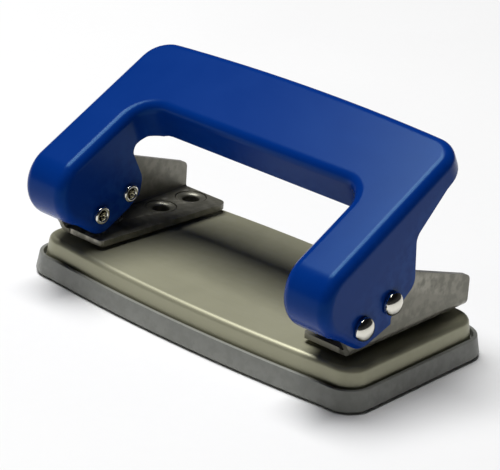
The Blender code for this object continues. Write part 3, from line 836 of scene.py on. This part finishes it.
WALL_OUTSIDE = 45.0 * MM
SLOT_FROM = 42 * MM
SLOT_TO = 48 * MM
SLOT_CORNER = 1.4 * MM
SLOT_ROOM = 0.5 * MM
SLOT_ENDS = 0.2 * MM
PUNCH_STROKE = 5.0 * MM
SEAT_RADIUS = 4.0 * MM
SEAT_DEPTH = 0.9 * MM


def make_bracket(name):
    """The right-hand bracket, at its place."""
    made = make_solid(draw_shape(name, section), -BRACKET_REACH / 2, BRACKET_REACH / 2, "XZ")
    carve(made, make_solid(draw_shape("wall", wall_outline), 0.0, BRACKET_REACH, "YZ"), "INTERSECT")
    carve(made, make_solid(draw_shape("floor_plan", floor_plan), 0.0, BRACKET_REACH), "INTERSECT")
    set_down(made)
    carve(made, bar((PUNCH_PLACE.x, PUNCH_PLACE.y, BRACKET_TOP), DIE_RADIUS, DRILL_LENGTH))
    for spot in FIXING_PLACES.values():
        carve(made, bar((spot.x, spot.y, BRACKET_TOP), FIXING_SHANK + FIXING_GAP, DRILL_LENGTH))
        carve(made, bar((spot.x, spot.y, BRACKET_TOP), SEAT_RADIUS, 2 * SEAT_DEPTH))
    carve(made, bar((WALL_OUTSIDE, PIVOT.y, PIVOT.z), RIVET_HOLE, DRILL_LENGTH, "X"))
    low = DRIVE.z - PUNCH_STROKE - SHANK_RADIUS - SLOT_ENDS
    high = DRIVE.z + SHANK_RADIUS + SLOT_ENDS
    half = SHANK_RADIUS + SLOT_ROOM
    near, far = PUNCH_PLACE.y - half, PUNCH_PLACE.y + half
    slot_corners = [(y, z, SLOT_CORNER) for y, z in ((near, low), (far, low), (far, high), (near, high))]
    carve(made, make_solid(draw_shape("slot", slot_corners), SLOT_FROM, SLOT_TO, "YZ"))
    soften(made, BRACKET_BURR, angle=45)
    return made


for side_name, side in SIDES:
    bracket = make_bracket(side_name + "_side_plate")
    if side < 0:
        hold(bracket)
        bracket.scale.x = -1
        bpy.ops.object.transform_apply(location=True, rotation=True, scale=True)
        start_work(bracket)
        bpy.ops.mesh.select_all(action="SELECT")
        bpy.ops.mesh.normals_make_consistent(inside=False)
        stop_work()
    # The brackets take the sheet colour painted darker as shade.
    smooth(bracket, 35)
    hand_over(bracket, SHADED_STEEL, "frame", side_name + "_bracket")

# %% [markdown]
# ## Fixing rivets
#
# Four hollow rivets hold the brackets to the base and keep a gap for the paper between
# them. The head is dished, flush with the bracket's floor, and open in the middle.

# %% Fixing rivets
FIXING_HEAD = 3.7 * MM
FIXING_BORE = 2.1 * MM
HEAD_TOP = BRACKET_TOP - 0.1 * MM
COLLAR = (BRACKET_FLOOR - FIXING_GAP, PLATE_TOP + FIXING_GAP)
ROLL_TOP = PLATE_TOP - PLATE_SHEET - FIXING_GAP
fixing_section = [
    (FIXING_BORE, ROLL_TOP - 0.8 * MM), (FIXING_BORE, HEAD_TOP - 0.75 * MM),
    (FIXING_BORE + 0.12 * MM, HEAD_TOP - 0.5 * MM), (FIXING_BORE + 0.4 * MM, HEAD_TOP - 0.25 * MM),
    (FIXING_BORE + 0.9 * MM, HEAD_TOP - 0.08 * MM), (FIXING_BORE + 1.3 * MM, HEAD_TOP),
    (FIXING_HEAD - 0.1 * MM, HEAD_TOP), (FIXING_HEAD, HEAD_TOP - 0.1 * MM),
    (FIXING_HEAD, HEAD_TOP - 0.5 * MM), (FIXING_SHANK, HEAD_TOP - 0.5 * MM),
    (FIXING_SHANK, COLLAR[0]), (FIXING_HEAD, COLLAR[0]),
    (FIXING_HEAD, COLLAR[1]), (FIXING_SHANK, COLLAR[1]),
    (FIXING_SHANK, ROLL_TOP), (FIXING_SHANK + 0.6 * MM, ROLL_TOP),
    (FIXING_SHANK + 0.6 * MM, ROLL_TOP - 0.5 * MM), (FIXING_SHANK + 0.3 * MM, ROLL_TOP - 0.8 * MM),
    (FIXING_BORE, ROLL_TOP - 0.8 * MM)]
for side_name, side in SIDES:
    for place_name, spot in FIXING_PLACES.items():
        fixing = lathe(side_name + "_" + place_name + "_fixing", fixing_section, (side * spot.x, spot.y, 0))
        smooth(fixing, 40)
        # The fixings take the same sheet colour painted darker as shade.
        hand_over(fixing, SHADED_STEEL, "frame", side_name + "_" + place_name + "_rivet")

# %% [markdown]
# ## Punches and springs
#
# The punch is a ground pin with a wider head and a cross slot for the drive rivet. Its tip
# is cut to a shallow hollow, so that the edge bites first. The spring is one ring of wire
# swept up a screw.

# %% Punches
PUNCH_RADIUS = 2.75 * MM
PUNCH_HEAD = 3.2 * MM
PUNCH_TIP = BRACKET_FLOOR + 0.3 * MM
SHOULDER = 18.5 * MM
PUNCH_TOP = DRIVE.z + 3.0 * MM
PUNCH_EDGE = 0.5 * MM
TIP_HOLLOW = 1.0 * MM
CROSS_FIT = 0.1 * MM
CROSS_SLIDE = 0.4 * MM
CROSS_CORNER = 1.5 * MM
CROSS_HALF = 5 * MM
punch_section = [
    (0.0, PUNCH_TOP), (PUNCH_HEAD - PUNCH_EDGE, PUNCH_TOP), (PUNCH_HEAD, PUNCH_TOP - PUNCH_EDGE),
    (PUNCH_HEAD, SHOULDER), (PUNCH_RADIUS, SHOULDER), (PUNCH_RADIUS, PUNCH_TIP),
    (0.0, PUNCH_TIP + TIP_HOLLOW)]
for side_name, side in SIDES:
    pin = lathe(side_name + "_pin", punch_section, (side * PUNCH_PLACE.x, PUNCH_PLACE.y, 0))
    reach = SHANK_RADIUS + CROSS_FIT
    cross = [(PUNCH_PLACE.y + a * (reach + CROSS_SLIDE), DRIVE.z + b * reach, CROSS_CORNER)
             for a, b in ((-1, -1), (1, -1), (1, 1), (-1, 1))]
    middle_x = side * PUNCH_PLACE.x
    carve(pin, make_solid(draw_shape("cross", cross), middle_x - CROSS_HALF, middle_x + CROSS_HALF, "YZ"))
    smooth(pin, 35)
    hand_over(pin, TOOL_STEEL, side_name + "_cutter", side_name + "_punch")

# %% Springs
WIRE = 0.2 * MM
COIL_RADIUS = 3.05 * MM
COIL_TURNS = 3.5
COIL_GAP = 0.3 * MM
COIL_STEPS = 110
COIL_LOW = BRACKET_TOP + COIL_GAP + WIRE
COIL_HIGH = SHOULDER - COIL_GAP - WIRE
for side_name, side in SIDES:
    bpy.ops.mesh.primitive_circle_add(vertices=10, radius=WIRE, fill_type="NGON",
                                      location=(COIL_RADIUS, 0, 0), rotation=(QUARTER_TURN, 0, 0))
    spring = bpy.context.object
    spring.name = side_name + "_coil"
    bpy.ops.object.transform_apply(location=True, rotation=True, scale=True)
    sweep = spring.modifiers.new("sweep", "SCREW")
    sweep.angle = 2 * math.pi * COIL_TURNS
    sweep.screw_offset = COIL_HIGH - COIL_LOW
    sweep.steps = COIL_STEPS
    sweep.render_steps = COIL_STEPS
    bpy.ops.object.modifier_apply(modifier=sweep.name)
    spring.location = (side * PUNCH_PLACE.x, PUNCH_PLACE.y, COIL_LOW)
    bpy.ops.object.transform_apply(location=True, rotation=True, scale=True)
    start_work(spring)
    bpy.ops.mesh.select_all(action="SELECT")
    bpy.ops.mesh.remove_doubles(threshold=SAME_POINT)
    bpy.ops.mesh.normals_make_consistent(inside=False)
    pick("EDGE", is_open)
    bpy.ops.mesh.edge_face_add()
    stop_work()
    smooth(spring, 50)
    hand_over(spring, TOOL_STEEL, "frame", side_name + "_spring")
    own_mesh(spring)

# %% [markdown]
# ## Floor, light and camera
#
# The punch stands on a plain pale floor. One wide soft lamp hangs overhead, a little to the
# left, so the face takes a broad sheen on its right leg and the folds carry a thin bright
# line. The room is dim, which keeps the polished rivets dark above and pale below, where
# they mirror the floor.

# %% Floor
FLOOR_SIZE = 6.0
bpy.ops.mesh.primitive_plane_add(size=FLOOR_SIZE, location=(0, 0, 0))
floor = bpy.context.object
floor.name = "floor"
bpy.ops.object.mode_set(mode="EDIT")
bpy.ops.mesh.subdivide(number_cuts=4)
stop_work()
FLOOR_FINISH = make_finish(
    "floor_paper", light=(0.93, 0.93, 0.93), dark=(0.90, 0.90, 0.90), wear_and_highlight_colour=(0.93, 0.93, 0.93),
    gloss=(0.6, 0.7), grain=300.0, patches=8.0, lift=0.005)
floor.data.materials.append(FLOOR_FINISH)

# %% Lamps and room
ROOM_LOW = (0.05, 0.05, 0.052)
ROOM_HIGH = (0.006, 0.006, 0.007)
ROOM_FADE = 0.6
LAMP_DISTANCE = 1.40
AIM = Vector((0.0, 0.0, 20 * MM))


def make_room():
    """A dim room, a little brighter near the horizon than overhead."""
    room = bpy.data.worlds.new("room")
    bpy.context.scene.world = room
    room.use_nodes = True
    tree = room.node_tree
    place = add(tree, "ShaderNodeTexCoord")
    split = add(tree, "ShaderNodeSeparateXYZ")
    fade = add(tree, "ShaderNodeMapRange")
    fade.inputs["From Min"].default_value = 0.0
    fade.inputs["From Max"].default_value = ROOM_FADE
    tree.links.new(place.outputs["Generated"], split.inputs[0])
    tree.links.new(split.outputs["Z"], fade.inputs["Value"])
    colour = blend_colours(tree, fade.outputs["Result"], ROOM_LOW, ROOM_HIGH)
    tree.links.new(colour, tree.nodes["Background"].inputs["Color"])


def lamp(name, direction, size, power):
    """A square soft lamp that looks at the middle of the punch."""
    light = bpy.data.lights.new(name, "AREA")
    light.shape = "SQUARE"
    light.size = size
    light.energy = power
    made = bpy.data.objects.new(name, light)
    bpy.context.scene.collection.objects.link(made)
    way = Vector(direction).normalized()
    made.location = way * LAMP_DISTANCE + AIM
    made.rotation_euler = way.to_track_quat("Z", "Y").to_euler()


make_room()
lamp("overhead", (-0.26, -0.03, 1.0), 0.80, 24.5)
bpy.context.scene.view_settings.view_transform = "Standard"
print("lamps:", [item.name for item in bpy.data.lights])

# %% Camera
VIEW_AZIMUTH = math.radians(41.09)
VIEW_ELEVATION = math.radians(23.08)
VIEW_ROLL = math.radians(3.76)
VIEW_DISTANCE = 507.21 * MM
VIEW_ASIDE = -1.50 * MM
VIEW_ABOVE = -0.80 * MM
VIEW_LENS = 159.0


def make_camera():
    """Stand on a sphere about the punch's middle, roll a little, and step aside to frame it."""
    back = Vector((math.sin(VIEW_AZIMUTH) * math.cos(VIEW_ELEVATION),
                   -math.cos(VIEW_AZIMUTH) * math.cos(VIEW_ELEVATION),
                   math.sin(VIEW_ELEVATION)))
    level = Vector((math.cos(VIEW_AZIMUTH), math.sin(VIEW_AZIMUTH), 0.0))
    upright = back.cross(level)
    right = level * math.cos(VIEW_ROLL) + upright * math.sin(VIEW_ROLL)
    up = upright * math.cos(VIEW_ROLL) - level * math.sin(VIEW_ROLL)
    camera = bpy.data.objects.new("camera", bpy.data.cameras.new("camera"))
    bpy.context.scene.collection.objects.link(camera)
    camera.data.lens = VIEW_LENS
    camera.data.clip_start = 0.01
    camera.rotation_mode = "QUATERNION"
    camera.rotation_quaternion = Matrix((right, up, back)).transposed().to_quaternion()
    camera.location = (Vector((0.0, CENTRE_Y, AIM.z)) + back * VIEW_DISTANCE
                       + right * VIEW_ASIDE + up * VIEW_ABOVE)
    bpy.context.scene.camera = camera
    return camera


print("camera at", make_camera().location)
